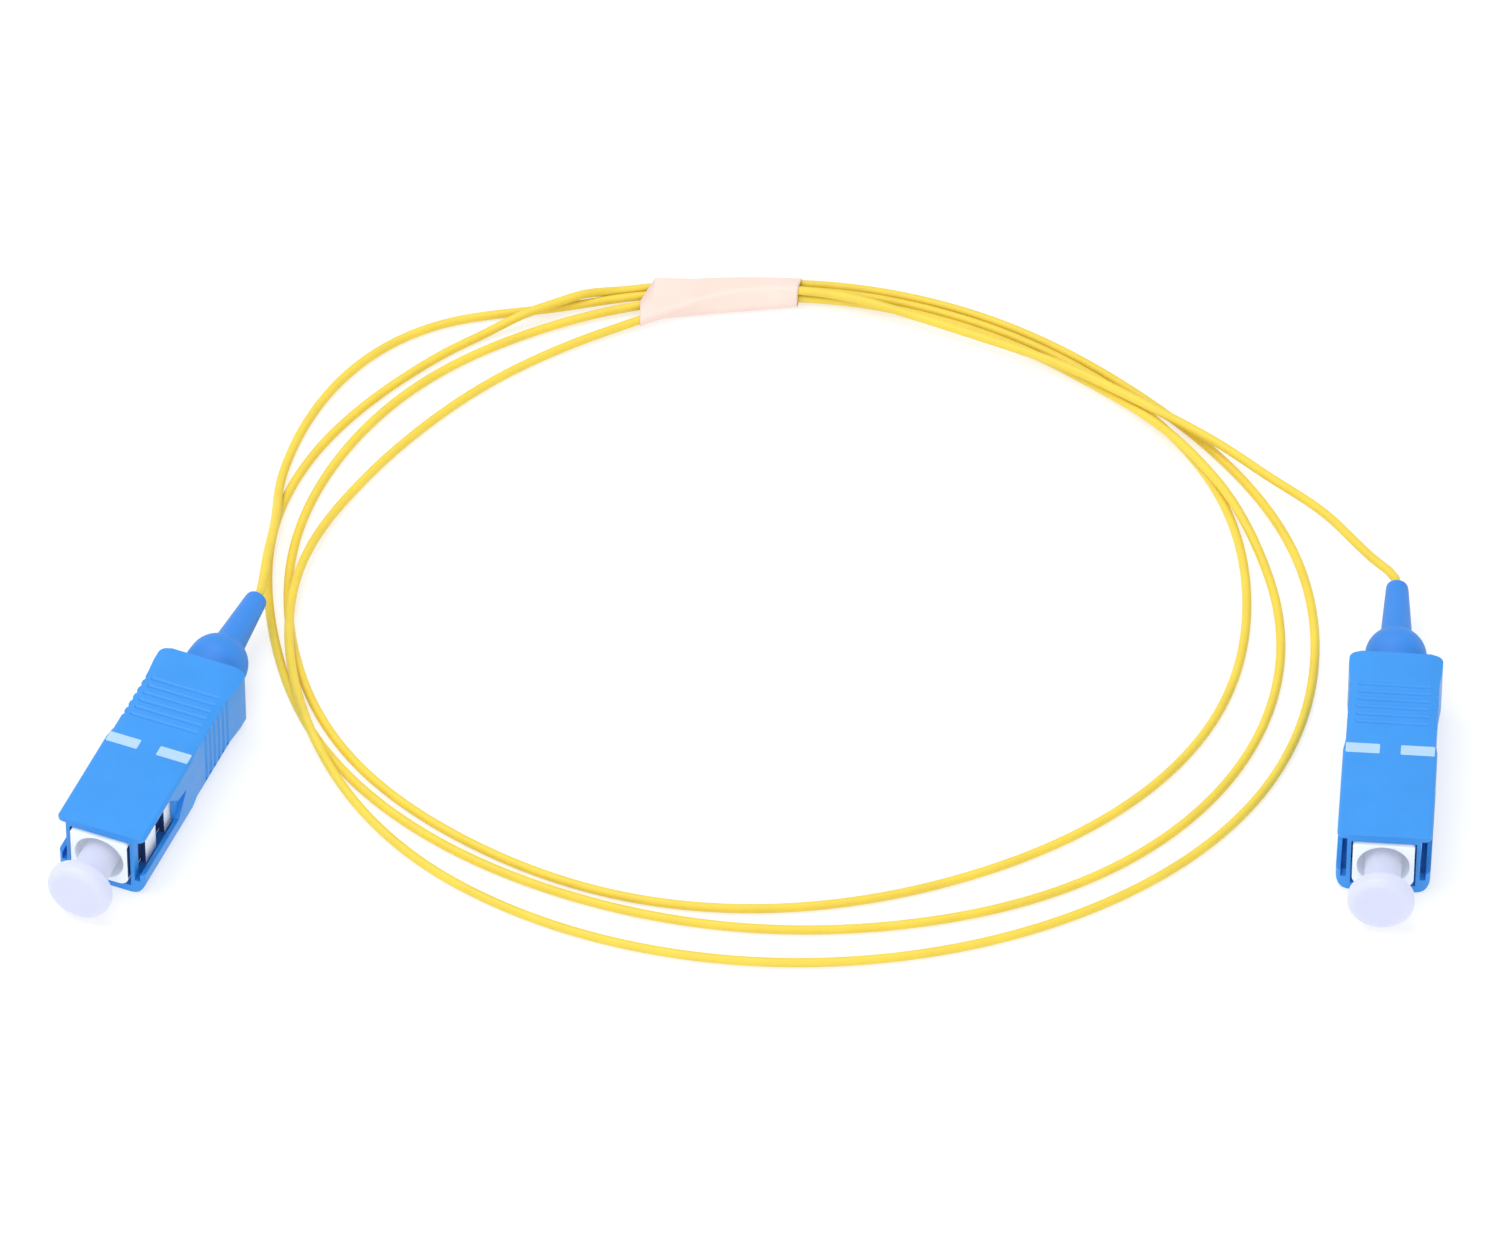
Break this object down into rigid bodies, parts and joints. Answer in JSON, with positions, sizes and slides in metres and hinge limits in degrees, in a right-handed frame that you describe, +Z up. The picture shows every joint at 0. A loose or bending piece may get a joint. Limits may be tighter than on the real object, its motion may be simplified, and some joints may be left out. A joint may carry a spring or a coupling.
{
  "type": "fibre optic patch cord",
  "caption": "Simplex fibre optic patch cord with square push-pull plugs, capped ferrules and a thin buffered fibre coiled in loose loops held by a strip of tape.",
  "frame": {"origin": "on the floor, at the middle of the bottom face of the box round both plugs", "axes": "+Z up from the floor the cord lies on, +X from the plug at the left to the plug at the right, and both plugs' mating faces look roughly towards -Y"},
  "size_m": [0.133, 0.0931, 0.0074],
  "materials": {
    "grip": "moulded blue plastic, satin",
    "frame": "moulded white plastic, satin",
    "ferrule": "ground and polished white ceramic",
    "metal": "nickel plated, plain",
    "boot": "soft blue moulding, satin",
    "cap": "soft translucent white moulding",
    "buffer": "extruded yellow buffer, satin",
    "tape": "pale masking tape, slightly translucent"
  },
  "bodies": {
    "cord": {"plug_frame_a": "frame", "rear_body_a": "metal", "boot_a": "boot", "plug_frame_b": "frame", "rear_body_b": "metal", "boot_b": "boot", "fibre_cord": "buffer", "tape": "tape"},
    "grip_a": {"grip_a": "grip"},
    "grip_b": {"grip_b": "grip"},
    "dust_cap_a": {"dust_cap_a": "cap"},
    "dust_cap_b": {"dust_cap_b": "cap"},
    "ferrule_a": {"ferrule_a": "ferrule"},
    "ferrule_b": {"ferrule_b": "ferrule"}
  },
  "joints": [
    {"name": "grip_a_slide", "type": "slide", "parent": "cord", "child": "grip_a", "axis": [0.3795, 0.9252, 0], "range_m": [0, 0.0015]},
    {"name": "grip_b_slide", "type": "slide", "parent": "cord", "child": "grip_b", "axis": [0.0785, 0.9969, 0], "range_m": [0, 0.0015]},
    {"name": "dust_cap_a_pull", "type": "slide", "parent": "cord", "child": "dust_cap_a", "axis": [-0.3795, -0.9252, 0], "range_m": [0, 0.014]},
    {"name": "dust_cap_b_pull", "type": "slide", "parent": "cord", "child": "dust_cap_b", "axis": [-0.0785, -0.9969, 0], "range_m": [0, 0.014]},
    {"name": "ferrule_a_float", "type": "slide", "parent": "cord", "child": "ferrule_a", "axis": [0.3795, 0.9252, 0], "range_m": [0, 0.0008], "stiffness_N_per_m": 5000, "springref_m": -0.0016},
    {"name": "ferrule_b_float", "type": "slide", "parent": "cord", "child": "ferrule_b", "axis": [0.0785, 0.9969, 0], "range_m": [0, 0.0008], "stiffness_N_per_m": 5000, "springref_m": -0.0016}
  ]
}
